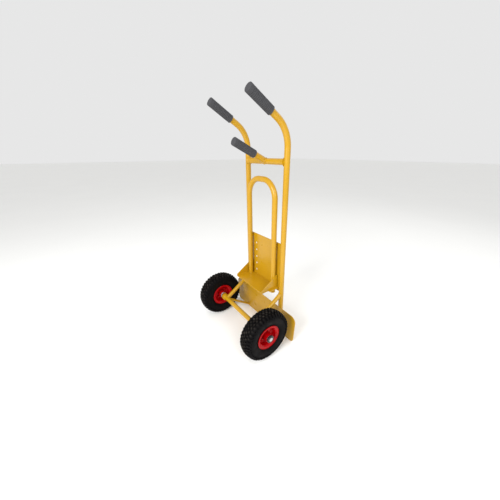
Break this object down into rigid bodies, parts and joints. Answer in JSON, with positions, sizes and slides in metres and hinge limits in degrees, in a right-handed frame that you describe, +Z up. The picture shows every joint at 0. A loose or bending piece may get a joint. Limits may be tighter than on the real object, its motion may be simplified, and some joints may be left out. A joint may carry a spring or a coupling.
{
  "type": "hand truck",
  "caption": "Two-wheeled tubular hand truck with an inverted-U hoop, a drilled back plate, a height-adjustable shelf and a wide foot plate.",
  "frame": {"origin": "on the floor, under the middle of the whole truck", "axes": "+X across the truck to its right as seen from behind, +Y forward away from the wheels, +Z up"},
  "size_m": [0.5452, 0.3304, 1.1567],
  "materials": {
    "frame_paint": "gloss golden yellow powder coat",
    "rim_paint": "gloss red paint",
    "tyre": "matt black rubber with block tread",
    "tube_rubber": "smooth black rubber",
    "grip_rubber": "matt black ribbed rubber",
    "black_plastic": "matt black moulded plastic",
    "zinc_steel": "bright zinc plated steel"
  },
  "bodies": {
    "frame": {"axle_boss_left": "frame_paint", "axle_boss_right": "frame_paint", "axle_cap_left": "black_plastic", "axle_cap_right": "black_plastic", "axle_rod": "zinc_steel", "axle_spacer_left": "zinc_steel", "axle_spacer_right": "zinc_steel", "axle_tube": "frame_paint", "axle_washer_left": "zinc_steel", "axle_washer_right": "zinc_steel", "brace_left": "frame_paint", "brace_right": "frame_paint", "centre_grip": "grip_rubber", "centre_handle": "frame_paint", "crossbar": "frame_paint", "foot_plate": "frame_paint", "foot_plug_left": "black_plastic", "foot_plug_right": "black_plastic", "grip_left": "grip_rubber", "grip_right": "grip_rubber", "hole_plate": "frame_paint", "hoop": "frame_paint", "hoop_plugs": "frame_paint", "hoop_spacers": "frame_paint", "strut_left": "frame_paint", "strut_right": "frame_paint", "upright_left": "frame_paint", "upright_right": "frame_paint"},
    "wheel_left": {"tyre_left": "tyre", "inner_tube_left": "tube_rubber", "rim_inner_left": "rim_paint", "rim_outer_left": "rim_paint", "rim_bolts_left": "rim_paint", "rim_nuts_left": "rim_paint", "valve_left": "tube_rubber", "hub_left": "rim_paint", "bearings_left": "zinc_steel"},
    "locating_peg_left": {"peg_left": "zinc_steel"},
    "wheel_right": {"tyre_right": "tyre", "inner_tube_right": "tube_rubber", "rim_inner_right": "rim_paint", "rim_outer_right": "rim_paint", "rim_bolts_right": "rim_paint", "rim_nuts_right": "rim_paint", "valve_right": "tube_rubber", "hub_right": "rim_paint", "bearings_right": "zinc_steel"},
    "locating_peg_right": {"peg_right": "zinc_steel"},
    "shelf_carriage": {"shelf": "frame_paint", "shelf_pads": "frame_paint", "gusset_left": "frame_paint", "gusset_right": "frame_paint"}
  },
  "joints": [
    {"name": "wheel_spin_left", "type": "hinge", "parent": "frame", "child": "wheel_left", "pos_m": [-0.224, -0.0352, 0.13], "axis": [1, 0, 0], "continuous": true},
    {"name": "wheel_spin_right", "type": "hinge", "parent": "frame", "child": "wheel_right", "pos_m": [0.224, -0.0352, 0.13], "axis": [1, 0, 0], "continuous": true},
    {"name": "shelf_height", "type": "slide", "parent": "frame", "child": "shelf_carriage", "axis": [0, 0, 1], "range_m": [0, 0.2125]},
    {"name": "peg_pull_left", "type": "slide", "parent": "frame", "child": "locating_peg_left", "axis": [0, -1, 0], "range_m": [0, 0.03]},
    {"name": "peg_pull_right", "type": "slide", "parent": "frame", "child": "locating_peg_right", "axis": [0, -1, 0], "range_m": [0, 0.03]}
  ]
}
